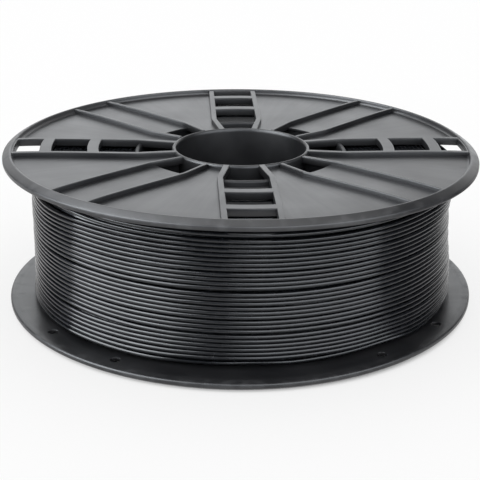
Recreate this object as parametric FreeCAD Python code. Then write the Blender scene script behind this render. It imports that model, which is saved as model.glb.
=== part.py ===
import FreeCAD, Part
import math
import os

# Spool of 3D printer filament: two ribbed flanges snapped onto a drum, with the filament wound on it.
# Millimetres, +Z up along the bore, origin under the middle of the lower flange's rim.
# Every flange is drawn with its own height h: 0 at the face towards the filament, growing outwards.

Vector = FreeCAD.Vector

# Whole spool
spool_width = 67.0
flange_radius = 100.0
bore_radius = 27.5

# Flange heights above its inner face
plate_top = 1.3
rib_top = 3.2
rim_top = 3.7

# Rim: a bead with a sloping flank and a narrow crest that the spool stands on
rim_wall_radius = 96.2
rim_crest_radius = 97.0
rim_edge_height = 2.2

# Ladder spokes along X and Y
spoke_angles = (0, 90, 180, 270)
window_half_width = 9.05
spoke_wall = 2.4
spoke_shoulder = 44.0
window_hub_half_width = 5.9
outer_window = (84.5, 95.7)
middle_window = (64.8, 79.0)
inner_window_end = 59.2

# Ribbed channels between the spokes, which the snap fingers are in line with
channel_angles = (45, 135, 225, 315)
channel_half_width = 9.35
channel_rib = 1.6
channel_hub_half_width = 6.2
channel_hole_radius = 42.0

# Hub of a flange: a ring that runs half way through the drum as a sleeve with snap fingers
hub_ring_radius = 29.3
sleeve_length = 29.5
finger_slot_width = 1.6
finger_slot_length = 12.0
finger_half_angle = 9.0
barb_height = 0.9
barb_length = 1.8

# Drum: a wall, webs that the two sleeves slide between, and bars that the fingers catch on
drum_radius = 45.0
drum_wall = 2.0
web_thickness = 1.8
web_angle = 20.5
web_recess = 1.0
bar_depth = 2.4
bar_thickness = 2.0
snap_play = 0.1

# Fit of the sleeves in the drum, and of the winding on it
slide_gap = 0.15

# How far the shapes of one moulding run into each other, and cuts run past what they cut
overlap = 0.5

# Parking holes for the filament's end, in the lower flange
parking_radius = 92.8
parking_hole_radius = 2.0
parking_hole_sides = 8
parking_angle = 11.5

# Filament
filament_diameter = 1.75
winding_radius = 86.0
outer_loops = 14
outer_low_z = 5.8
outer_high_z = 61.6
layer_gap = 0.05
end_bend_radius = 3.0
end_reach = 1.9
parked_hole_angle = channel_angles[1] - parking_angle

inner_face_low = rim_top
inner_face_high = spool_width - rim_top
barb_top = barb_length - sleeve_length
# The outer layer's section is a triangle as large as the round filament's.
section_side = filament_diameter * math.sqrt(math.pi / math.sqrt(3))
section_height = section_side * math.sqrt(3) / 2
# It rolls a little with every loop, so it starts tilted one way and ends tilted as far the other.
section_tilt = 180 * (outer_high_z - outer_low_z) / (2 * math.pi * winding_radius)
section_reach = 2 * section_height / 3 * math.cos(math.radians(60 - section_tilt))
outer_path_radius = winding_radius + layer_gap + section_reach
# It leaves the winding straight along, towards its parking hole, after whole turns.
outer_start_angle = parked_hole_angle - math.degrees(math.acos(outer_path_radius / parking_radius))


def polar(radius, degrees, z=0.0):
    angle = math.radians(degrees)
    return Vector(radius * math.cos(angle), radius * math.sin(angle), z)


def turned(shape, degrees):
    copy = shape.copy()
    copy.rotate(Vector(0, 0, 0), Vector(0, 0, 1), degrees)
    return copy


def revolved(profile, degrees=360.0, start=0.0):
    """A profile of (radius, height) pairs turned about Z."""
    points = [Vector(radius, 0, height) for radius, height in profile]
    face = Part.Face(Part.makePolygon(points + points[:1]))
    return turned(face.revolve(Vector(0, 0, 0), Vector(0, 0, 1), degrees), start)


def prism(outline, low, high):
    """An outline of (along, across) pairs made into a solid from one height to another."""
    points = [Vector(along, across, low) for along, across in outline]
    return Part.Face(Part.makePolygon(points + points[:1])).extrude(Vector(0, 0, high - low))


def tube(outer, inner, low, high):
    solid = Part.makeCylinder(outer, high - low, Vector(0, 0, low))
    return solid.cut(Part.makeCylinder(inner, high - low, Vector(0, 0, low)))


def spoke_outline(half_width, hub_half_width, end):
    """Parallel sides that draw in from the shoulder to the hub."""
    start = bore_radius + overlap
    one_side = [(start, hub_half_width), (spoke_shoulder, half_width), (end, half_width)]
    return one_side + [(along, -across) for along, across in reversed(one_side)]


def flange_body():
    """The plate, rim and hub sleeve, as one turned profile."""
    profile = [
        (bore_radius, -sleeve_length),
        (hub_ring_radius, -sleeve_length),
        (hub_ring_radius, 0),
        (flange_radius, 0),
        (flange_radius, rim_edge_height),
        (rim_crest_radius, rim_top),
        (rim_wall_radius, rim_top),
        (rim_wall_radius, plate_top),
        (hub_ring_radius, plate_top),
        (hub_ring_radius, rib_top),
        (bore_radius, rib_top),
    ]
    return revolved(profile)


def ladder_windows(open_rim_window):
    """The openings of one spoke, as solids to cut."""
    inner = spoke_outline(window_half_width, window_hub_half_width, inner_window_end)
    hub = Part.makeCylinder(hub_ring_radius, rim_top + overlap, Vector(0, 0, -overlap))
    openings = [prism(inner, -overlap, rim_top).cut(hub)]
    rim_window_floor = -overlap if open_rim_window else plate_top
    for (near, far), floor in ((middle_window, -overlap), (outer_window, rim_window_floor)):
        across = window_half_width
        corners = [(near, -across), (far, -across), (far, across), (near, across)]
        openings.append(prism(corners, floor, rim_top))
    return openings


def ladder_rails():
    """The raised block of one spoke, before its windows are cut."""
    slope = (window_half_width - window_hub_half_width) / (spoke_shoulder - hub_ring_radius)
    hub_width = window_hub_half_width + spoke_wall * math.hypot(1, slope)
    outline = spoke_outline(window_half_width + spoke_wall, hub_width, rim_wall_radius + overlap)
    return prism(outline, 0, rib_top)


def channel_ribs():
    """The two thin ribs of one channel."""
    slope = (channel_half_width - channel_hub_half_width) / (spoke_shoulder - hub_ring_radius)
    hub_width = channel_hub_half_width + channel_rib * math.hypot(1, slope)
    end = rim_wall_radius + overlap
    outer = spoke_outline(channel_half_width + channel_rib, hub_width, end)
    inner = spoke_outline(channel_half_width, channel_hub_half_width, end + overlap)
    return prism(outer, 0, rib_top).cut(prism(inner, -overlap, rib_top + overlap))


def channel_hole():
    """The opening between the two ribs and the hub."""
    outline = spoke_outline(channel_half_width, channel_hub_half_width, drum_radius)
    ring = tube(channel_hole_radius, hub_ring_radius, -overlap, rim_top)
    return prism(outline, -overlap, rim_top).common(ring)


def snap_slots():
    """The cuts that free the snap fingers at the sleeve's end."""
    inside = bore_radius - 2 * overlap
    depth = hub_ring_radius + barb_height + overlap - inside
    corner = Vector(inside, -finger_slot_width / 2, -sleeve_length)
    slot = Part.makeBox(depth, finger_slot_width, finger_slot_length, corner)
    side_angle = finger_half_angle + math.degrees(finger_slot_width / 2 / bore_radius)
    return [turned(slot, middle + side * side_angle) for middle in channel_angles for side in (-1, 1)]


def snap_barbs():
    """The hooks at the fingers' tips, with a slope that clicks past the drum's bars."""
    root = (hub_ring_radius + bore_radius) / 2
    profile = [
        (root, -sleeve_length),
        (hub_ring_radius, -sleeve_length),
        (hub_ring_radius + barb_height, barb_top),
        (root, barb_top),
    ]
    starts = [angle - finger_half_angle for angle in channel_angles]
    return [revolved(profile, 2 * finger_half_angle, start) for start in starts]


def parking_holes():
    """Small holes by the rim that hold the filament's end, cut with few sides."""
    step = 360 / parking_hole_sides
    corners = [polar(parking_hole_radius, step * number) for number in range(parking_hole_sides)]
    hole = prism([(corner.x, corner.y) for corner in corners], -overlap, rim_top)
    hole.translate(Vector(parking_radius, 0, 0))
    return [turned(hole, angle + side * parking_angle) for angle in channel_angles for side in (-1, 1)]


def flange(open_rim_window, with_parking_holes):
    """A whole flange with h = 0 at Z = 0 and its outer face up."""
    additions = [turned(ladder_rails(), angle) for angle in spoke_angles]
    additions += [turned(channel_ribs(), angle) for angle in channel_angles]
    additions += snap_barbs()
    solid = flange_body().multiFuse(additions)
    cuts = [turned(shape, angle) for shape in ladder_windows(open_rim_window) for angle in spoke_angles]
    cuts += [turned(channel_hole(), angle) for angle in channel_angles]
    cuts += snap_slots()
    if with_parking_holes:
        cuts += parking_holes()
    return solid.cut(cuts).removeSplitter()


def upper_flange():
    solid = flange(True, False)
    solid.translate(Vector(0, 0, inner_face_high))
    return solid


def lower_flange():
    solid = flange(False, True)
    solid = solid.mirror(Vector(0, 0, 0), Vector(0, 0, 1))
    solid.translate(Vector(0, 0, inner_face_low))
    return solid


def winding_drum():
    """The wall that the filament is wound on, with the webs and snap bars inside it."""
    wall = tube(drum_radius, drum_radius - drum_wall, inner_face_low, inner_face_high)
    inner = hub_ring_radius + slide_gap
    web_low = inner_face_low + web_recess
    web_height = inner_face_high - web_recess - web_low
    web_reach = drum_radius - drum_wall / 2 - inner
    web = Part.makeBox(web_reach, web_thickness, web_height, Vector(inner, -web_thickness / 2, web_low))
    bar_width = 2 * (inner + bar_depth) * math.tan(math.radians(web_angle))
    bar = Part.makeBox(bar_depth, bar_width, bar_thickness, Vector(inner, -bar_width / 2, 0))
    additions = []
    for middle in channel_angles:
        additions += [turned(web, middle + side * web_angle) for side in (-1, 1)]
        upper_bar = turned(bar, middle)
        upper_bar.translate(Vector(0, 0, inner_face_high + barb_top + snap_play))
        lower_bar = turned(bar, middle)
        lower_bar.translate(Vector(0, 0, inner_face_low - barb_top - snap_play - bar_thickness))
        additions += [upper_bar, lower_bar]
    return wall.multiFuse(additions).removeSplitter()


def helix_point(turns):
    """A point of the outer layer's middle line, counted in turns from its top."""
    share = turns / outer_loops
    z = outer_high_z + (outer_low_z - outer_high_z) * share
    return polar(outer_path_radius, outer_start_angle + 360 * turns, z)


def helix_direction(turns):
    angle = math.radians(outer_start_angle + 360 * turns)
    around = 2 * math.pi * outer_path_radius
    drop = (outer_low_z - outer_high_z) / outer_loops
    return Vector(-around * math.sin(angle), around * math.cos(angle), drop).normalize()


def arc_along(start, direction, end):
    """The arc that leaves start along direction and ends at end."""
    chord = end - start
    across = direction.cross(chord).cross(direction).normalize()
    radius = chord.Length ** 2 / (2 * chord.dot(across))
    centre = start + across * radius
    middle = ((start + end) * 0.5 - centre).normalize() * radius + centre
    return Part.Arc(start, middle, end).toShape()


def biarc(start, start_direction, end, end_direction):
    """Two arcs that meet smoothly between two points with given directions."""
    chord = end - start
    both = start_direction + end_direction
    square = both.dot(both) - 4
    linear = -2 * chord.dot(both)
    root = math.sqrt(linear ** 2 - 4 * square * chord.dot(chord))
    reach = (-linear - root) / (2 * square)
    first = start + start_direction * reach
    second = end - end_direction * reach
    joint = (first + second) * 0.5
    return [
        arc_along(start, start_direction, joint),
        arc_along(joint, (second - first).normalize(), end),
    ]


def outer_path():
    """The outer layer's middle line: out of the layer below, round the winding, into a parking hole."""
    edges = []

    first = helix_point(0)
    outward = polar(1, outer_start_angle)
    along = helix_direction(0)
    bend_start = first - along * end_bend_radius - outward * end_bend_radius
    edges.append(Part.LineSegment(bend_start - outward * end_reach, bend_start).toShape())
    edges.append(arc_along(bend_start, outward, first))

    for half in range(2 * outer_loops):
        here = half / 2
        there = here + 1 / 2
        edges += biarc(helix_point(here), helix_direction(here), helix_point(there), helix_direction(there))

    last = helix_point(outer_loops)
    along = helix_direction(outer_loops)
    reach = math.sqrt(parking_radius ** 2 - outer_path_radius ** 2)
    bend_start = last + along * (reach - end_bend_radius)
    down = Vector(0, 0, -1)
    level = Vector(along.x, along.y, 0).normalize()
    bend_end = bend_start + level * end_bend_radius + down * end_bend_radius
    edges.append(Part.LineSegment(last, bend_start).toShape())
    edges.append(arc_along(bend_start, along, bend_end))
    edges.append(Part.LineSegment(bend_end, bend_end + down * end_reach).toShape())
    return edges


def least_gap(edges):
    """The least clear distance between different stretches of the outer layer."""
    step = 6.0
    points = []
    travelled = 0.0
    for edge in edges:
        count = max(int(edge.Length / step), 1)
        for number, point in enumerate(edge.discretize(count + 1)[:-1]):
            points.append((travelled + edge.Length * number / count, point))
        travelled += edge.Length
    loop_length = 2 * math.pi * outer_path_radius
    least = loop_length
    for number, (place, point) in enumerate(points):
        for other_place, other in points[number + 1:]:
            if other_place - place > loop_length / 4:
                least = min(least, point.distanceToPoint(other))
    return least - section_side


def filament_inner_layers():
    """The layers under the outer one, as a plain ring with a pocket where the outer layer comes up."""
    ring = tube(winding_radius, drum_radius + slide_gap, inner_face_low, inner_face_high)
    floor = outer_path_radius - end_bend_radius - end_reach
    depth = winding_radius + overlap - floor
    length = end_bend_radius + 2 * section_side
    width = 2 * section_side
    corner = Vector(floor, -end_bend_radius - section_side, outer_high_z - width / 2)
    pocket = Part.makeBox(depth, length, width, corner)
    return ring.cut(turned(pocket, outer_start_angle))


def filament_outer_layer():
    edges = outer_path()
    print("outer layer: least gap to itself %.2f mm" % least_gap(edges))
    start = edges[0].valueAt(edges[0].FirstParameter)
    direction = edges[0].tangentAt(edges[0].FirstParameter)
    # On the turns the section's flat side faces the winding, so here it faces into the first bend.
    upright = Vector(0, 0, section_side / 2)
    inward = Vector(0, 0, section_height / 3).cross(direction)
    corners = [start - inward * 2, start + inward + upright, start + inward - upright]
    section = Part.makePolygon(corners + corners[:1])
    section.rotate(start, direction, -section_tilt)
    solid = Part.Wire(edges).makePipeShell([section], True, False)
    length = sum(edge.Length for edge in edges)
    area = math.pi * filament_diameter ** 2 / 4
    print("outer layer: %.0f mm long, volume %.0f of %.0f mm3" % (length, solid.Volume, area * length))
    return solid


def write(name, shape):
    solids = shape.Solids
    print("%-22s valid %s, solids %d, volume %.0f mm3" % (name, shape.isValid(), len(solids), shape.Volume))
    if len(solids) == 1:
        shape = solids[0]
    shape.exportStep("parts/%s.step" % name)


os.makedirs("parts", exist_ok=True)
write("upper_flange", upper_flange())
write("lower_flange", lower_flange())
write("winding_drum", winding_drum())
write("filament_inner_layers", filament_inner_layers())
write("filament_outer_layer", filament_outer_layer())
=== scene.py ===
import itertools
import math

import bmesh
import bpy
import numpy as np
from mathutils import Matrix, Vector


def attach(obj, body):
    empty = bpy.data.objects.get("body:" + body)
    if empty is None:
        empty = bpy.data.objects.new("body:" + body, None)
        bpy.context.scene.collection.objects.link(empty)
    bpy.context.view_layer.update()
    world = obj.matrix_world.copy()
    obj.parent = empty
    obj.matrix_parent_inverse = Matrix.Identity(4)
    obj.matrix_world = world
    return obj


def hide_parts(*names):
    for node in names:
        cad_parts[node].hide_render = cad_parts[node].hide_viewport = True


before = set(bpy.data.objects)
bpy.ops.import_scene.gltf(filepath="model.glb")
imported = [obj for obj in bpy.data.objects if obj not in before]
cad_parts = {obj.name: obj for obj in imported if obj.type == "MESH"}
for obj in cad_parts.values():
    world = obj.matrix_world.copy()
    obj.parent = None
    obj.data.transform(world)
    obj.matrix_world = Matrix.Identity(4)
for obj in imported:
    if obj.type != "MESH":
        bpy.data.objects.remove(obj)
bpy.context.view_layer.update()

# Spool of 3D printer filament. Lengths are millimetres in the CAD's frame, and angles are degrees.
# The meshes, materials, lamps and the camera's clipping are in metres.

MM = 0.001

# Whole spool
flange_radius = 100.0
bore_radius = 27.5
inner_low = 3.7
inner_high = 63.3

# Flange heights above its inner face
plate_top = 1.3
rib_top = 3.2
rim_top = 3.7

# Rim: inner wall, fillet at the wall's foot, the height where it begins in the plate, and the plate's radius
rim_wall_radius = 96.2
rim_fillet = 1.1
rim_root = 0.4
plate_radius = 97.2

# Ladder spokes, each with three windows
spoke_angles = (0, 90, 180, 270)
window_half = 9.05
window_hub_half = 5.9
spoke_wall = 2.4
shoulder = 44.0
outer_window = (84.7, 95.6)
middle_window = (65.0, 79.8)
inner_window_end = 60.2

# Ribbed channels
channel_angles = (45, 135, 225, 315)
channel_half = 9.35
channel_hub_half = 6.2
channel_rib = 1.6
channel_hole_end = 42.0

# Radii inside the hub ring and the rim, where spokes and ribs begin and end, and openings and plate begin
ladder_start = bore_radius + 0.5
channel_start = bore_radius + 1.1
spoke_end = rim_wall_radius + 0.5
opening_start = 28.7
plate_start = 28.4

# How far the plate's edges stay behind the spokes' rails and the channels' ribs
plate_inset = 1.0
channel_inset = 0.8

# Rounding of the flange's edges, and the height at which spokes and ribs begin inside the plate
plate_edge = 0.12
ladder_edge = 0.3
channel_edge = 0.35
ladder_low = 0.04
channel_low = 0.03

# Hub ring, and the sleeve with snap fingers
hub_radius = 29.3
hub_outer_rounding = 1.2
hub_inner_rounding = 1.6
sleeve_length = 29.5
slot_width = 1.6
slot_length = 12.0
finger_half = 9.0
barb_height = 0.9
barb_length = 1.8

# Parking holes
parking_radius = 92.8
parking_hole_radius = 2.0
parking_angle = 11.5

# Spacing of the edges that let the flange bend
grid_step = 5.0

# The winding presses the flanges apart: how far out of flat a disc lies, by radius, and down to what height
dish_radii = (hub_radius, 40.0, 50.0, 60.0, 70.0, 80.0, 88.0, 93.0, 96.5)
dish_rises = (-0.85, -0.68, -0.48, -0.25, 0.0, 0.16, 0.2, 0.13, 0.0)
dish_depth = -5.0

# Sides where the flanges stand a little closer together, and how far each bends in there
upper_bent_side = -20
upper_bend = 1.3
lower_bent_side = -8
lower_bend = 1.65

# Drum, with its webs and the bars that the snap fingers catch on
drum_radius = 45.0
drum_wall = 2.0
drum_seat = 1.0
drum_edge = 0.95
drum_notch = 0.6
drum_tab_half = 12
web_thickness = 1.8
web_angle = 20.5
web_recess = 1.0
web_root = 0.5
bar_depth = 2.4
bar_thickness = 2.0
sleeve_clearance = 0.15
snap_play = 0.1

# Filament, and the two layers that are drawn as turns: number of turns, first and last height, and depth
thread_radius = 0.875
thread_pitch = 2 * thread_radius
outer_layer_turns = 30
outer_layer_high = 62.25
outer_layer_low = 4.85
under_layer_turns = 29
under_layer_high = 62.3
under_layer_low = 8.4
under_layer_depth = 1.55

# Inner layers, and how far their ends bulge beyond the innermost one's, by radius
layers_near = 45.2
layers_far = 84.2
layers_low = 5.7
layers_high = 61.3
bulge_radii = (45.0, 60.0, 70.0, 80.0)
bulges = (0.0, 0.35, 0.65, 0.8)

# Where the strand leaves the layer below, and where it is parked
dive_turns = 0.12
dive_depth = 3.0
parked_azimuth = channel_angles[1] - parking_angle
leaving_turns = 0.5
leaving_radius = 87.07
leaving_height = 5.8
parking_bend = 3.0
parking_depth = 1.9

# How unevenly the outer layer is laid: up or down, in or out, less so on its calm side, and the least pitch
height_wander = 0.22
radius_wander = 0.09
calm_azimuth = -150
calm_spread = 32
calm_share = 0.8
loose_reach = 4.0
least_pitch = thread_pitch + 0.02

# Places where two turns lie apart: turn, azimuth, spread in degrees, extra gap
loose_places = (
    (3.78, -157, 13, 4.4), (3.4, -75, 35, 0.7), (14.1, -152, 13, 1.3), (14.2, -95, 40, 0.5),
    (24.3, -138, 13, 1.2), (29.0, -88, 16, 3.4), (22.4, -40, 25, 0.8), (12.5, -20, 35, 0.8),
    (6.4, 60, 40, 0.9), (20.5, 100, 35, 1.0), (16.3, 170, 30, 0.8), (4.2, 140, 30, 1.0),
)

# The winding's outside radius: azimuth, then the radius at each of the heights
radius_heights = (4.9, 7.0, 12.0, 20.0, 30.0, 45.0, 58.0, 62.4)
radius_table = (
    (-180, 90.0, 89.6, 89.0, 88.9, 88.85, 88.9, 88.2, 86.4),
    (-145, 90.4, 90.0, 89.3, 88.9, 88.85, 88.9, 88.2, 86.3),
    (-122, 89.3, 89.3, 88.9, 88.7, 88.7, 88.7, 88.2, 86.5),
    (-100, 86.0, 88.4, 88.6, 88.6, 88.6, 88.6, 88.2, 86.8),
    (-90, 85.0, 88.2, 88.6, 88.6, 88.6, 88.6, 88.2, 86.9),
    (-77, 86.5, 88.2, 88.6, 88.6, 88.6, 88.6, 88.3, 87.0),
    (-57, 87.2, 88.6, 89.0, 89.0, 88.8, 88.7, 88.4, 87.3),
    (-40, 90.8, 90.6, 90.4, 90.0, 89.2, 88.9, 88.6, 87.8),
    (-15, 91.2, 91.0, 90.8, 90.5, 89.5, 88.9, 91.1, 91.6),
    (15, 90.8, 90.6, 90.4, 90.2, 89.5, 88.9, 90.9, 91.4),
    (60, 88.5, 88.8, 89.0, 89.0, 89.0, 88.8, 88.4, 87.3),
    (120, 87.9, 88.4, 88.7, 88.8, 88.8, 88.8, 88.2, 86.9),
    (180, 90.0, 89.6, 89.0, 88.9, 88.85, 88.9, 88.2, 86.4),
)

# Colours
dark_plastic = (0.0112, 0.0115, 0.0135)
# pale_plastic: the paleness of the rims' wear marks and random tone, and of their painted sheen
pale_plastic = (0.065, 0.065, 0.068)
plain_plastic = (0.0135, 0.0138, 0.016)
dark_filament = (0.0055, 0.0065, 0.0085)
pale_filament = (0.012, 0.013, 0.0155)
plain_filament = (0.0075, 0.0085, 0.0105)
floor_colour = (0.95, 0.95, 0.95)
wall_colour = (0.33, 0.37, 0.44)
dark_card = (0.02, 0.02, 0.02)
lamp_colour = (0.94, 0.985, 1.03)

# Side where the painted sheen on the upper rim's crest and flank gives way to painted shade
shaded_rim_side = -44

# Camera, fitted to the photograph's ellipses: its axes and place, turned with the spokes' pattern
pattern_turn = -2.8
camera_axes = Matrix((
    (0.999977, -0.006795, 0.000226),
    (0.002600, 0.351583, -0.936153),
    (0.006282, 0.936132, 0.351592),
))
camera_place = (0.0, -497.531, 209.664)
camera_lens = 91.01

# Floor: half its side, where its shadow gives way to white, and how white it is seen
floor_reach = 3000
shadow_edge = (0.0955, 0.0995)
floor_white = 0.72

# Cards that reflections show: azimuth from the camera's side, spread, both edges' (distance, height), colour
cards = {
    "room_wall": (0, 250, (2600, 20), (2600, 2600), wall_colour),
    "dark_card_left": (-121, 28, (1400, 20), (1400, 1200), dark_card),
    "dark_card_right": (106, 46, (1400, 20), (1400, 2300), dark_card),
    "dark_card_high": (136, 44, (1500, 900), (1500, 3300), dark_card),
    "dark_floor_card": (92, 52, (190, 0.5), (1300, 0.5), dark_card),
}

# Lamps that reflections show: azimuth, elevation, then distance, width and height in metres, and radiance
softboxes = {
    "left_softbox": (-77, 30, 1.5, 1.08, 1.7, 8.5),
    "left_softbox_edge": (-44.5, 30, 1.5, 0.74, 1.7, 5.5),
    "right_softbox": (42, 30, 1.5, 2.0, 1.7, 3.5),
    "right_strip": (4, 30, 1.5, 0.42, 1.7, 0.62),
    "back_softbox": (-173, 25, 2.0, 1.2, 1.2, 1.0),
    "back_right_softbox": (160, 9, 2.0, 0.5, 0.7, 1.4),
    "high_left_softbox": (-118, 58, 1.8, 1.1, 1.1, 2.2),
}
lamp_aim = (0, 0, 0.034)


# Shapes
def polar(radius, degrees, z=0.0):
    angle = math.radians(degrees)
    return (radius * math.cos(angle), radius * math.sin(angle), z)


def turn_points(points, degrees):
    c, s = math.cos(math.radians(degrees)), math.sin(math.radians(degrees))
    return [(x * c - y * s, x * s + y * c) for x, y in points]


def circle(radius, count, centre=(0.0, 0.0)):
    turns = [2 * math.pi / count * i for i in range(count)]
    return [(centre[0] + radius * math.cos(t), centre[1] + radius * math.sin(t)) for t in turns]


def bounded_arc(radius, half):
    """The arc at a radius between two lines at a distance of half to each side of a spoke's middle."""
    count = 8
    reach = math.degrees(math.asin(half / radius))
    step = 2 * reach / count
    return [polar(radius, -reach + step * i)[:2] for i in range(count + 1)]


def smooth(share):
    return share * share * (3 - 2 * share)


def mesh_of(vertices, faces, name):
    mesh = bpy.data.meshes.new(name)
    mesh.from_pydata([(x * MM, y * MM, z * MM) for x, y, z in vertices], [], faces)
    mesh.update()
    return mesh


def outline_solid(outlines, low, high, edge):
    """Flat outlines, the first the border and the rest holes, as a solid with rounded edges."""
    curve = bpy.data.curves.new("outline", "CURVE")
    curve.dimensions = "2D"
    curve.fill_mode = "BOTH"
    curve.extrude = ((high - low) / 2 - edge) * MM
    curve.bevel_depth = edge * MM
    curve.bevel_resolution = 2
    curve.offset = -edge * MM
    for points in outlines:
        spline = curve.splines.new("POLY")
        spline.points.add(len(points) - 1)
        for point, (x, y) in zip(spline.points, points):
            point.co = (x * MM, y * MM, 0, 1)
        spline.use_cyclic_u = True
    holder = bpy.data.objects.new("outline", curve)
    bpy.context.scene.collection.objects.link(holder)
    graph = bpy.context.evaluated_depsgraph_get()
    mesh = bpy.data.meshes.new_from_object(holder.evaluated_get(graph))
    mesh.transform(Matrix.Translation((0, 0, (high + low) / 2 * MM)))
    bpy.data.objects.remove(holder)
    bpy.data.curves.remove(curve)
    return mesh


def cut_across(mesh, degrees):
    """Edges across a mesh at even steps along a direction, so that it can bend smoothly."""
    bm = bmesh.new()
    bm.from_mesh(mesh)
    along = Vector(polar(1, degrees))
    reach = flange_radius - grid_step / 2
    for place in np.arange(-reach, reach, grid_step):
        everything = bm.verts[:] + bm.edges[:] + bm.faces[:]
        cut = along * float(place) * MM
        bmesh.ops.bisect_plane(bm, geom=everything, dist=1e-7, plane_co=cut, plane_no=along)
    bm.to_mesh(mesh)
    bm.free()
    return mesh


def lathe(profile, count):
    """A closed profile of (radius, height) pairs turned about Z."""
    vertices = [polar(r, 360 * i / count, z) for i in range(count) for r, z in profile]
    size = len(profile)
    faces = []
    for i in range(count):
        here, there = i * size, (i + 1) % count * size
        for j in range(size):
            k = (j + 1) % size
            faces.append((here + j, there + j, there + k, here + k))
    return mesh_of(vertices, faces, "lathe")


# For each way out of a grid's cell, the corners of the face there, all as steps in angle, radius and height
cell_sides = (
    ((0, 1, 0), ((0, 1, 0), (1, 1, 0), (1, 1, 1), (0, 1, 1))),
    ((0, -1, 0), ((0, 0, 0), (0, 0, 1), (1, 0, 1), (1, 0, 0))),
    ((0, 0, 1), ((0, 0, 1), (0, 1, 1), (1, 1, 1), (1, 0, 1))),
    ((0, 0, -1), ((0, 0, 0), (1, 0, 0), (1, 1, 0), (0, 1, 0))),
    ((1, 0, 0), ((1, 0, 0), (1, 0, 1), (1, 1, 1), (1, 1, 0))),
    ((-1, 0, 0), ((0, 0, 0), (0, 1, 0), (0, 1, 1), (0, 0, 1))),
)


def polar_cells(angles, radii, heights, solid):
    """The skin of the solid cells of a grid in angle, radius and height, closed round the axis."""
    rings, levels = len(radii) - 1, len(heights) - 1
    index = {}
    vertices = []
    faces = []

    def corner(a, r, h):
        key = (a % len(angles), r, h)
        if key not in index:
            index[key] = len(vertices)
            vertices.append(polar(radii[r], angles[key[0]], heights[h]))
        return index[key]

    def filled(a, r, h):
        return 0 <= r < rings and 0 <= h < levels and solid(a % len(angles), r, h)

    for a, r, h in itertools.product(range(len(angles)), range(rings), range(levels)):
        if not filled(a, r, h):
            continue
        for way, corners in cell_sides:
            if not filled(a + way[0], r + way[1], h + way[2]):
                faces.append([corner(a + i, r + j, h + k) for i, j, k in corners])
    return mesh_of(vertices, faces, "cells")


def tube_mesh(points, radius, sides):
    """A round tube along points, closed at both ends."""
    path = np.array(points)
    tangents = np.gradient(path, axis=0)
    tangents /= np.linalg.norm(tangents, axis=1)[:, None]
    normal = np.cross(tangents[0], np.array([0.0, 0.0, 1.0]))
    normal /= np.linalg.norm(normal)
    angles = 2 * np.pi * np.arange(sides) / sides
    rings = []
    for point, tangent in zip(path, tangents):
        normal = normal - tangent * np.dot(normal, tangent)
        normal /= np.linalg.norm(normal)
        side = np.cross(tangent, normal)
        rings.append(point + radius * (np.outer(np.cos(angles), normal) + np.outer(np.sin(angles), side)))
    vertices = np.concatenate(rings)
    count = len(path)
    faces = []
    for i in range(count - 1):
        for j in range(sides):
            k = (j + 1) % sides
            faces.append((i * sides + j, i * sides + k, (i + 1) * sides + k, (i + 1) * sides + j))
    faces.append(tuple(range(sides))[::-1])
    faces.append(tuple((count - 1) * sides + j for j in range(sides)))
    return mesh_of(vertices.tolist(), faces, "tube")


def box_mesh(low, high, degrees):
    """A box between two corners, turned about Z."""
    ground = turn_points([(x, y) for x in (low[0], high[0]) for y in (low[1], high[1])], degrees)
    corners = [(x, y, z) for x, y in ground for z in (low[2], high[2])]
    faces = [(0, 1, 3, 2), (4, 6, 7, 5), (0, 4, 5, 1), (2, 3, 7, 6), (0, 2, 6, 4), (1, 5, 7, 3)]
    return mesh_of(corners, faces, "box")


def join(meshes, name):
    """One mesh of several."""
    bm = bmesh.new()
    for mesh in meshes:
        bm.from_mesh(mesh)
        bpy.data.meshes.remove(mesh)
    joined = bpy.data.meshes.new(name)
    bm.to_mesh(joined)
    bm.free()
    return joined


def settled(mesh):
    """The flanges bend in on one side, further out more so, and the winding gives way between them."""
    for vertex in mesh.vertices:
        azimuth = math.atan2(vertex.co.y, vertex.co.x)
        upper_share = max(0.0, math.cos(azimuth - math.radians(upper_bent_side))) ** 2
        lower_share = max(0.0, math.cos(azimuth - math.radians(lower_bent_side))) ** 2
        radius = math.hypot(vertex.co.x, vertex.co.y) / (flange_radius * MM)
        height = min(max((vertex.co.z / MM - inner_low) / (inner_high - inner_low), 0.0), 1.0)
        bend = lower_bend * lower_share * (1 - height) - upper_bend * upper_share * height
        vertex.co.z += bend * MM * radius ** 2


# Flanges, drawn with the inner face at height 0 and the outer side up
def inner_window(grow):
    """The window by the hub: it widens up to the shoulder and ends in an arc."""
    half = window_half + grow
    far_end = bounded_arc(inner_window_end + grow, half)
    near_end = bounded_arc(opening_start, window_hub_half + grow)[::-1]
    return far_end + [(shoulder, half)] + near_end + [(shoulder, -half)]


def window(near, far, grow):
    """A ladder window between two arcs."""
    half = window_half + grow
    return bounded_arc(far + grow, half) + bounded_arc(near - grow, half)[::-1]


def channel_hole(grow):
    """The opening at a channel's hub end."""
    opened = (channel_hole_end - hub_radius) / (shoulder - hub_radius)
    far_half = channel_hub_half + (channel_half - channel_hub_half) * opened
    near_end = bounded_arc(opening_start, channel_hub_half + grow)[::-1]
    return bounded_arc(channel_hole_end, far_half + grow) + near_end


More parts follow.
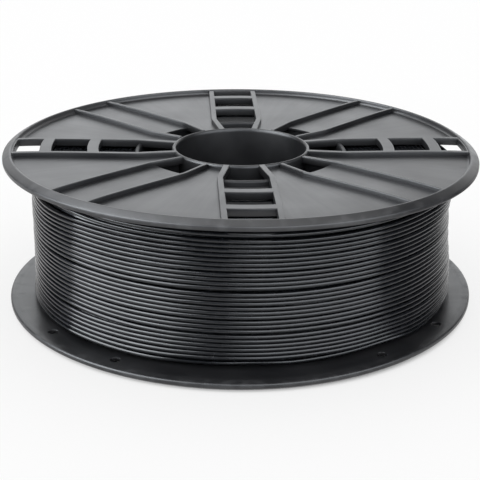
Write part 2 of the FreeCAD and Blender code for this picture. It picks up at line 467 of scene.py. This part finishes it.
def plate(open_rim_window, with_parking_holes):
    """The disc with its openings, whose edges lie inside the rails and ribs."""
    holes = [circle(plate_start, 96)]
    for angle in spoke_angles:
        outlines = [inner_window(plate_inset), window(*middle_window, plate_inset)]
        if open_rim_window:
            outlines.append(window(outer_window[0], outer_window[1] - plate_inset, plate_inset))
        holes += [turn_points(outline, angle) for outline in outlines]
    for angle in channel_angles:
        holes.append(turn_points(channel_hole(channel_inset), angle))
        if with_parking_holes:
            for side in (-1, 1):
                centre = polar(parking_radius, angle + side * parking_angle)
                holes.append(circle(parking_hole_radius, 32, centre[:2]))
    mesh = outline_solid([circle(plate_radius, 240)] + holes, 0.0, plate_top, plate_edge)
    return cut_across(cut_across(mesh, 0), 90)


def ladder(angle):
    """One ladder spoke with its windows."""
    slope = (window_half - window_hub_half) / (shoulder - hub_radius)
    hub_half = window_hub_half + spoke_wall * math.hypot(1, slope)
    half = window_half + spoke_wall
    border = bounded_arc(ladder_start, hub_half)
    border += [(shoulder, half), (spoke_end, half), (spoke_end, -half), (shoulder, -half)]
    outlines = [border, inner_window(0.0), window(*middle_window, 0.0), window(*outer_window, 0.0)]
    turned = [turn_points(points, angle) for points in outlines]
    return cut_across(outline_solid(turned, ladder_low, rib_top, ladder_edge), angle)


def channel(angle):
    """The two thin ribs of one channel."""
    slope = (channel_half - channel_hub_half) / (shoulder - hub_radius)
    hub_half = channel_hub_half + channel_rib * math.hypot(1, slope)
    half = channel_half + channel_rib
    outer = [(channel_start, hub_half), (shoulder, half), (spoke_end, half)]
    inner = [(channel_start, channel_hub_half), (shoulder, channel_half), (spoke_end, channel_half)]
    meshes = []
    for side in (-1, 1):
        outline = [(x, side * y) for x, y in outer + inner[::-1]]
        mesh = outline_solid([turn_points(outline, angle)], channel_low, rib_top, channel_edge)
        meshes.append(cut_across(mesh, angle))
    return meshes


def rim():
    """The bead round the flange: a narrow crest, a sloping flank and a rounded lower edge."""
    profile = [
        (97.1, 0.0), (99.35, 0.0), (99.65, 0.09), (99.89, 0.3), (flange_radius, 0.62), (flange_radius, 1.65),
        (99.93, 1.83), (99.78, 1.98), (99.3, 2.34), (98.6, 2.8), (97.8, 3.27), (97.4, 3.5), (97.1, 3.64),
        (96.8, rim_top), (96.5, 3.66), (96.3, 3.5), (rim_wall_radius, 3.2),
    ]
    foot = rim_wall_radius - rim_fillet
    for t in np.linspace(0, math.pi / 2, 6):
        profile.append((foot + rim_fillet * math.cos(t), plate_top + rim_fillet - rim_fillet * math.sin(t)))
    profile += [(foot, rim_root), (97.0, rim_root)]
    return lathe(profile, count=360)


def hub_ring():
    """The rounded bead round the bore, down to where the slots begin."""
    crown = (bore_radius + hub_radius) / 2
    half = (hub_radius - bore_radius) / 2
    slots_begin = -sleeve_length + slot_length
    profile = [(bore_radius, slots_begin), (hub_radius, slots_begin)]
    for t in np.linspace(0, math.pi / 2, 7):
        height = rib_top - hub_outer_rounding + hub_outer_rounding * math.sin(t)
        profile.append((crown + half * math.cos(t), height))
    for t in np.linspace(math.pi / 2, math.pi, 7)[1:]:
        height = rib_top - hub_inner_rounding + hub_inner_rounding * math.sin(t)
        profile.append((crown + half * math.cos(t), height))
    return lathe(profile, count=216)


def sleeve():
    """The sleeve's end, cut by the slots that free the snap fingers, with their barbs."""
    half_slot = math.degrees(slot_width / 2 / bore_radius)
    slots = []
    for finger in channel_angles:
        for middle in (finger - finger_half - half_slot, finger + finger_half + half_slot):
            slots.append((middle - half_slot, middle + half_slot))
    edges = [edge for slot in slots for edge in slot]
    even_step = 4
    least_step = 0.8
    rounding = 1e-3
    angles = sorted({round(edge, 4) for edge in edges} | {float(a) for a in range(0, 360, even_step)})

    def apart(angle, edge):
        return abs(angle - edge) > least_step or abs(angle - edge) < rounding

    angles = [angle for angle in angles if all(apart(angle, edge) for edge in edges)]
    radii = [bore_radius, hub_radius, hub_radius + barb_height]
    heights = [-sleeve_length, barb_length - sleeve_length, slot_length - sleeve_length]

    def solid(a, r, h):
        following = angles[a + 1] if a + 1 < len(angles) else angles[0] + 360
        middle = (angles[a] + following) / 2
        if any(near < middle < far for near, far in slots):
            return False
        on_finger = any(abs(middle - finger) < finger_half for finger in channel_angles)
        return r == 0 or (h == 0 and on_finger)

    return polar_cells(angles, radii, heights, solid)


def flange_mesh(open_rim_window, with_parking_holes):
    """The whole moulding, dished as far down as the plate and the hub ring's top."""
    meshes = [plate(open_rim_window, with_parking_holes)]
    meshes += [ladder(angle) for angle in spoke_angles]
    for angle in channel_angles:
        meshes += channel(angle)
    mesh = join(meshes + [rim(), hub_ring(), sleeve()], "flange")
    for vertex in mesh.vertices:
        if vertex.co.z > dish_depth * MM:
            radius = math.hypot(vertex.co.x, vertex.co.y) / MM
            vertex.co.z += float(np.interp(radius, dish_radii, dish_rises)) * MM
    return mesh


# Drum
def drum_shell():
    """The drum's wall with rounded ends, which reach further where a ladder's inner window lets them."""
    inside = drum_radius - drum_wall
    low, high = inner_low - drum_seat, inner_high + drum_seat
    turns = np.linspace(0, math.pi / 2, 5)
    quarter = [(drum_edge - drum_edge * math.sin(t), drum_edge - drum_edge * math.cos(t)) for t in turns]
    profile = [(inside + x, low + y) for x, y in reversed(quarter)]
    profile += [(drum_radius - x, low + y) for x, y in quarter]
    profile += [(drum_radius - x, high - y) for x, y in reversed(quarter)]
    profile += [(inside + x, high - y) for x, y in quarter]
    shell = lathe(profile, count=216)
    for vertex in shell.vertices:
        azimuth = math.degrees(math.atan2(vertex.co.y, vertex.co.x))
        beside = abs((azimuth + 45) % 90 - 45) > drum_tab_half
        if beside and vertex.co.z > inner_high * MM:
            vertex.co.z -= drum_notch * MM
        if beside and vertex.co.z < inner_low * MM:
            vertex.co.z += drum_notch * MM
    return shell


def drum_mesh():
    """The drum with two webs to each finger and a bar for each barb between them."""
    near = hub_radius + sleeve_clearance
    far = drum_radius - drum_wall + web_root
    bar_half = (near + bar_depth) * math.tan(math.radians(web_angle))
    upper_bar = inner_high + barb_length - sleeve_length + snap_play
    lower_bar = inner_low - barb_length + sleeve_length - snap_play - bar_thickness
    web_low = (near, -web_thickness / 2, inner_low + web_recess)
    web_high = (far, web_thickness / 2, inner_high - web_recess)
    meshes = [drum_shell()]
    for middle in channel_angles:
        meshes += [box_mesh(web_low, web_high, middle + side * web_angle) for side in (-1, 1)]
        for bottom in (upper_bar, lower_bar):
            bar_high = (near + bar_depth, bar_half, bottom + bar_thickness)
            meshes.append(box_mesh((near, -bar_half, bottom), bar_high, middle))
    return join(meshes, "drum")


# Winding
def winding_outside(z, azimuth):
    """The winding's outside radius at a height and an azimuth."""
    around = (azimuth + 180) % 360 - 180
    azimuths = [row[0] for row in radius_table]
    after = min(max(np.searchsorted(azimuths, around), 1), len(azimuths) - 1)
    before, following = radius_table[after - 1], radius_table[after]
    share = smooth((around - before[0]) / (following[0] - before[0]))
    low = np.interp(z, radius_heights, before[1:])
    high = np.interp(z, radius_heights, following[1:])
    return float(low + (high - low) * share)


def wander(count, per_turn, rng, reach):
    """A smooth random line along a winding, with six random places to a turn."""
    knots = rng.normal(0, 1, count * 6 // per_turn + 4)
    places = np.arange(count) * 6 / per_turn
    whole = places.astype(int)
    part = smooth(places - whole)
    return reach * (knots[whole] * (1 - part) + knots[whole + 1] * part)


def laid_heights(per_turn, start_azimuth, rng):
    """Heights along the outer layer: even turns that wander, lie apart in places, and never overlap."""
    high, low = outer_layer_high, outer_layer_low
    count = outer_layer_turns * per_turn + 1
    turn = np.arange(count) / per_turn
    heights = high + (low - high) * turn / outer_layer_turns
    azimuth = start_azimuth + 360 * turn
    calm = np.exp(-(((azimuth - calm_azimuth + 180) % 360 - 180) / calm_spread) ** 2)
    heights += wander(count, per_turn, rng, height_wander) * (1 - calm_share * calm)
    for place_turn, place_azimuth, spread, gap in loose_places:
        away = (azimuth - place_azimuth + 180) % 360 - 180
        share = np.exp(-(away / spread) ** 2)
        offset = turn - place_turn
        above = np.clip(1 + offset / loose_reach, 0, 1)
        below = -np.clip(1 - offset / loose_reach, 0, 1)
        heights += gap / 2 * share * np.where(offset < 0, above, below)
    heights[:per_turn] = np.minimum(heights[:per_turn], high)
    for i in range(per_turn, count):
        heights[i] = min(heights[i], heights[i - per_turn] - least_pitch)
    heights[-per_turn:] = np.maximum(heights[-per_turn:], low)
    for i in reversed(range(count - per_turn)):
        heights[i] = max(heights[i], heights[i + per_turn] + least_pitch)
    kernel = np.hanning(13)
    padded = np.pad(heights, 6, mode="edge")
    return np.convolve(padded, kernel / kernel.sum(), mode="valid")


def parked_end(last, leaving_azimuth):
    """The strand's end: straight on from its last place on the winding, then down into the parking hole."""
    steps = 8
    along = Vector(polar(1, leaving_azimuth + 90))
    straight = along * (math.sqrt(parking_radius ** 2 - leaving_radius ** 2) - parking_bend)
    points = [tuple(last + straight * i / steps) for i in range(1, steps + 1)]
    corner = last + straight
    for i in range(1, steps + 1):
        t = math.radians(90 * i / steps)
        down = Vector((0, 0, -parking_bend * (1 - math.cos(t))))
        points.append(tuple(corner + along * parking_bend * math.sin(t) + down))
    bottom = Vector(points[-1])
    return points + [tuple(bottom + Vector((0, 0, -depth))) for depth in (1.0, parking_depth)]


def outer_turns():
    """The middle line of the outer layer: out of the layer below, down in turns, and into a parking hole."""
    per_turn = 120
    rng = np.random.default_rng(11)
    leaving_azimuth = parked_azimuth - math.degrees(math.acos(leaving_radius / parking_radius))
    start_azimuth = leaving_azimuth - 360 * outer_layer_turns
    heights = laid_heights(per_turn, start_azimuth, rng)
    bulge = wander(len(heights), per_turn, rng, radius_wander)
    points = []
    for i, z in enumerate(heights):
        turn = i / per_turn
        azimuth = start_azimuth + 360 * turn
        radius = winding_outside(z, azimuth) - thread_radius + bulge[i]
        if turn < dive_turns:
            dive = 1 - turn / dive_turns
            radius -= dive_depth * dive * dive
        if outer_layer_turns - turn < leaving_turns:
            blend = smooth(1 - (outer_layer_turns - turn) / leaving_turns)
            radius += (leaving_radius - radius) * blend
            z += (leaving_height - z) * blend
        points.append(polar(radius, azimuth, z))
    return points + parked_end(Vector(points[-1]), leaving_azimuth)


def under_turns():
    """The middle line of the layer beneath, wound the other way."""
    per_turn = 90
    points = []
    for i in range(under_layer_turns * per_turn + 1):
        turn = i / per_turn
        z = under_layer_low + (under_layer_high - under_layer_low) * turn / under_layer_turns
        radius = winding_outside(z, 360 * turn) - thread_radius - under_layer_depth
        points.append(polar(radius, 360 * turn, z))
    return points


def ripple(middle, level, start):
    """Half a thread's section about a point, clockwise from a direction, without the half's last point."""
    steps = 5
    points = []
    for j in range(steps):
        t = math.radians(start - 180 * j / steps)
        points.append((middle + thread_radius * math.cos(t), level + thread_radius * math.sin(t)))
    return points


def inner_ring_mesh():
    """The layers beneath the turns that are drawn, rippled above and below where each layer ends."""
    count = int((layers_far - layers_near) / thread_pitch)
    middles = [layers_near + thread_pitch * (i + 0.5) for i in range(count)]
    rises = [float(np.interp(middle, bulge_radii, bulges)) for middle in middles]
    profile = []
    for middle, rise in zip(middles, rises):
        profile += ripple(middle, layers_high + rise, 180)
    profile.append((layers_near + thread_pitch * count, layers_high + rises[-1]))
    for middle, rise in zip(middles[::-1], rises[::-1]):
        profile += ripple(middle, layers_low - rise, 0)
    profile.append((layers_near, layers_low))
    return lathe(profile[::-1], count=180)


# Materials
def principled(name, colour, roughness, ior):
    material = bpy.data.materials.new(name)
    material.use_nodes = True
    shader = material.node_tree.nodes["Principled BSDF"]
    shader.inputs["Base Color"].default_value = (*colour, 1)
    shader.inputs["Roughness"].default_value = roughness
    shader.inputs["IOR"].default_value = ior
    return material


class Nodes:
    """Short ways to add and join the nodes of one material."""

    def __init__(self, material):
        self.tree = material.node_tree
        self.shader = self.tree.nodes["Principled BSDF"]
        self.place = self.tree.nodes.new("ShaderNodeTexCoord").outputs["Object"]

    def node(self, kind, inputs=(), **settings):
        made = self.tree.nodes.new("ShaderNode" + kind)
        for name, value in settings.items():
            setattr(made, name, value)
        for key, value in dict(inputs).items():
            if isinstance(value, bpy.types.NodeSocket):
                self.tree.links.new(value, made.inputs[key])
            else:
                made.inputs[key].default_value = value
        return made

    def math(self, operation, first, second, clamp=False):
        return self.node("Math", {0: first, 1: second}, operation=operation, use_clamp=clamp).outputs[0]

    def times(self, first, second):
        return self.math("MULTIPLY", first, second)

    def plus(self, first, second):
        return self.math("ADD", first, second)

    def vector(self, operation, first, second=(0.0, 0.0, 0.0)):
        made = self.node("VectorMath", {0: first, 1: second}, operation=operation)
        return made.outputs["Value" if operation in ("LENGTH", "DOT_PRODUCT") else "Vector"]

    def noise(self, place, scale, detail):
        return self.node("TexNoise", {"Vector": place, "Scale": scale, "Detail": detail}).outputs["Fac"]

    def between(self, value, low, high, to_low, to_high, shape="SMOOTHSTEP"):
        inputs = {"Value": value, "From Min": low, "From Max": high, "To Min": to_low, "To Max": to_high}
        return self.node("MapRange", inputs, interpolation_type=shape).outputs["Result"]

    def colours(self, share, first, second):
        ramp = self.node("ValToRGB", {"Fac": share})
        ramp.color_ramp.elements[0].color = (*first, 1)
        ramp.color_ramp.elements[1].color = (*second, 1)
        return ramp.outputs["Color"]

    def radius(self):
        return self.vector("LENGTH", self.vector("MULTIPLY", self.place, (1.0, 1.0, 0.0)))

    def around(self, turns, radial, axial):
        """Coordinates that vary with direction round the axis, radius and height, at a rate for each."""
        flat = self.vector("MULTIPLY", self.place, (1.0, 1.0, 0.0))
        heading = self.vector("MULTIPLY", self.vector("NORMALIZE", flat), (turns, turns, 0.0))
        height = self.node("SeparateXYZ", {0: self.place}).outputs["Z"]
        rise = self.plus(self.times(self.radius(), radial), self.times(height, axial))
        return self.vector("ADD", heading, self.node("CombineXYZ", {"Z": rise}).outputs[0])

    def bump(self, height, strength, distance):
        made = self.node("Bump", {"Height": height, "Strength": strength, "Distance": distance})
        self.tree.links.new(made.outputs["Normal"], self.shader.inputs["Normal"])

    def drive(self, name, value):
        self.tree.links.new(value, self.shader.inputs[name])


def moulded_plastic(name, ior, dullness, rim_sheen):
    """Dark satin moulding: fine grain, faint flow marks away from the hub, a rim rubbed by handling, and a
    painted sheen on the rim's crest and flank that gives way to painted shade on one side.
    """
    material = principled(name, plain_plastic, 0.36 + dullness, ior)
    made = Nodes(material)
    flow = made.noise(made.around(34.0, 25.0, 0.0), 1.0, 3.0)
    rings = made.noise(made.around(5.0, 5200.0, 5200.0), 1.0, 2.0)
    grain = made.noise(made.place, 1700.0, 2.0)
    cloud = made.noise(made.place, 55.0, 4.0)
    patches = made.noise(made.place, 210.0, 5.0)

    # Rubbed patches and fine scratches on the rim
    radius = made.radius()
    on_rim = made.between(radius, 0.0955, 0.0972, 0.0, 1.0)
    rubbed = made.times(on_rim, made.between(patches, 0.46, 0.68, 0.0, 1.0))
    streaks = made.times(made.between(rings, 0.62, 0.72, 0.0, 1.0), made.between(cloud, 0.5, 0.66, 0.0, 1.0))
    scratches = made.times(streaks, on_rim)

    # Painted sheen: the rim's crest and flank are paler than its outer face, except on one side, where it
    # gives way to painted shade
    crest = made.between(radius, 0.0952, 0.0957, 0.0, rim_sheen)
    flank = made.times(crest, made.between(radius, 0.0993, 0.0998, 1.0, 0.4))
    # Painted shade: the sheen on the crest and flank fades out towards this side
    toward_shaded_rim = made.vector("DOT_PRODUCT", made.place, polar(1, shaded_rim_side))
    painted_sheen = made.times(flank, made.between(toward_shaded_rim, 0.0925, 0.0972, 1.0, 0.0))
    pale = made.plus(made.between(cloud, 0.3, 0.7, 0.0, 0.17), painted_sheen)
    pale = made.math("ADD", pale, made.times(made.plus(rubbed, scratches), 0.25), clamp=True)
    made.drive("Base Color", made.colours(pale, dark_plastic, pale_plastic))

    rough = made.between(cloud, 0.25, 0.75, 0.33 + dullness, 0.4 + dullness)
    rough = made.plus(rough, made.between(flow, 0.3, 0.7, -0.012, 0.012))
    made.drive("Roughness", made.plus(rough, made.times(rubbed, 0.1)))
    height = made.plus(made.times(grain, 0.5), made.times(flow, 0.12))
    made.bump(made.plus(height, made.times(scratches, -0.5)), 0.35, 0.00003)
    return material


def filament_material():
    """Glossy extruded strand: fine lines along it, and a gloss that changes from stretch to stretch."""
    material = principled("filament", plain_filament, 0.13, 1.45)
    made = Nodes(material)
    lines = made.noise(made.around(9.0, 3100.0, 3100.0), 1.0, 2.0)
    stretches = made.noise(made.around(7.0, 520.0, 520.0), 1.0, 2.0)
    haze = made.noise(made.place, 320.0, 4.0)
    pale = made.between(haze, 0.3, 0.75, 0.0, 1.0)
    made.drive("Base Color", made.colours(pale, dark_filament, pale_filament))
    hazed = made.between(haze, 0.45, 0.75, 0.0, 0.05)
    made.drive("Roughness", made.plus(made.between(stretches, 0.3, 0.7, 0.09, 0.17), hazed))
    made.bump(made.plus(made.times(lines, 0.4), made.times(haze, 0.3)), 0.3, 0.00002)
    return material


def floor_material():
    """White where the camera, a reflection or a clear part sees it, less the object's shadow."""
    material = principled("floor", floor_colour, roughness=0.9, ior=1.3)
    made = Nodes(material)
    rays = made.node("LightPath").outputs
    seen = made.math("MAXIMUM", rays["Is Camera Ray"], rays["Is Glossy Ray"])
    seen = made.math("MAXIMUM", seen, rays["Is Transmission Ray"])
    beside = made.between(made.vector("LENGTH", made.place), *shadow_edge, 0.0, floor_white, "LINEAR")
    white = made.node("Emission").outputs["Emission"]
    lit = made.shader.outputs["BSDF"]
    mixed = made.node("MixShader", {"Fac": made.times(seen, beside), 1: lit, 2: white})
    made.tree.links.new(mixed.outputs["Shader"], made.tree.nodes["Material Output"].inputs["Surface"])
    return material


# Pieces
def piece(name, mesh, material, nodes):
    """A visible piece of the spool that stands for the CAD nodes named."""
    settled(mesh)
    mesh.name = name
    mesh.materials.clear()
    mesh.materials.append(material)
    mesh.polygons.foreach_set("use_smooth", [True] * len(mesh.polygons))
    mesh.set_sharp_from_angle(angle=math.radians(40))
    obj = bpy.data.objects.new(name, mesh)
    bpy.context.scene.collection.objects.link(obj)
    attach(obj, "root")
    if nodes:
        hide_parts(*nodes)


# The last argument sets how strong the painted sheen on each rim's crest and flank is
upper_plastic = moulded_plastic("upper_flange_plastic", ior=1.48, dullness=0.0, rim_sheen=0.55)
lower_plastic = moulded_plastic("lower_flange_plastic", ior=1.48, dullness=0.0, rim_sheen=0.1)
drum_plastic = moulded_plastic("drum_plastic", ior=1.38, dullness=0.12, rim_sheen=0.0)
filament_plastic = filament_material()

upper_flange = flange_mesh(open_rim_window=True, with_parking_holes=False)
upper_flange.transform(Matrix.Translation((0, 0, inner_high * MM)))
piece("upper_flange_moulding", upper_flange, upper_plastic, ["upper_flange"])

lower_flange = flange_mesh(open_rim_window=False, with_parking_holes=True)
lower_flange.transform(Matrix.Diagonal((1, 1, -1, 1)))
lower_flange.flip_normals()
lower_flange.transform(Matrix.Translation((0, 0, inner_low * MM)))
piece("lower_flange_moulding", lower_flange, lower_plastic, ["lower_flange"])

piece("drum_moulding", drum_mesh(), drum_plastic, ["winding_drum"])

piece("winding_inner_layers", inner_ring_mesh(), filament_plastic, ["filament_inner_layers"])
under_layer = tube_mesh(under_turns(), thread_radius, sides=8)
piece("winding_under_layer", under_layer, filament_plastic, [])
outer_layer = tube_mesh(outer_turns(), thread_radius, sides=12)
piece("winding_outer_layer", outer_layer, filament_plastic, ["filament_outer_layer"])

# Camera
turn = Matrix.Rotation(math.radians(pattern_turn), 3, "Z")
camera_data = bpy.data.cameras.new("camera")
camera_data.sensor_width = 36.0
camera_data.lens = camera_lens
camera_data.clip_start = 0.01
camera_data.clip_end = 20
camera = bpy.data.objects.new("camera", camera_data)
camera.matrix_world = Matrix.Translation(turn @ (Vector(camera_place) * MM)) @ (turn @ camera_axes).to_4x4()
bpy.context.scene.collection.objects.link(camera)
bpy.context.scene.camera = camera


# Floor, world, cards and lamps
def staged(name, vertices, faces, material):
    mesh = mesh_of(vertices, faces, name)
    mesh.materials.append(material)
    made = bpy.data.objects.new(name, mesh)
    bpy.context.scene.collection.objects.link(made)
    return made


def card(name, azimuth, spread, first_edge, second_edge, colour):
    """A curved card round the spool, between two edges of (distance, height), seen in reflections alone."""
    parts = 12
    points = []
    for i in range(parts + 1):
        angle = math.radians(-90 + pattern_turn + azimuth + spread * (i / parts - 0.5))
        points += [(far * math.cos(angle), far * math.sin(angle), z) for far, z in (first_edge, second_edge)]
    faces = [(2 * i, 2 * i + 2, 2 * i + 3, 2 * i + 1) for i in range(parts)]
    made = staged(name, points, faces, principled(name, colour, roughness=0.9, ior=1.3))
    made.visible_camera = False
    made.visible_diffuse = False
    made.visible_transmission = False
    made.visible_shadow = False


def softbox(name, azimuth, elevation, distance, wide, high, radiance):
    """A panel of light that faces the spool's middle, seen in reflections alone."""
    data = bpy.data.lights.new(name, "AREA")
    data.shape = "RECTANGLE"
    data.size = wide
    data.size_y = high
    data.energy = radiance * math.pi * wide * high
    data.color = lamp_colour
    light = bpy.data.objects.new(name, data)
    angle = math.radians(-90 + pattern_turn + azimuth)
    up = math.radians(elevation)
    way = Vector((math.cos(angle) * math.cos(up), math.sin(angle) * math.cos(up), math.sin(up)))
    light.location = Vector(lamp_aim) + way * distance
    light.rotation_euler = (-way).to_track_quat("-Z", "Y").to_euler()
    light.visible_diffuse = False
    light.visible_camera = False
    bpy.context.scene.collection.objects.link(light)


corners = [(x * floor_reach, y * floor_reach, 0) for x, y in ((-1, -1), (1, -1), (1, 1), (-1, 1))]
staged("floor", corners, [(0, 1, 2, 3)], floor_material())

world = bpy.data.worlds.new("studio")
bpy.context.scene.world = world
world.use_nodes = True
world.node_tree.nodes["Background"].inputs["Color"].default_value = (1, 1, 1, 1)

for name, values in cards.items():
    card(name, *values)
for name, values in softboxes.items():
    softbox(name, *values)

bpy.context.scene.view_settings.view_transform = "Standard"
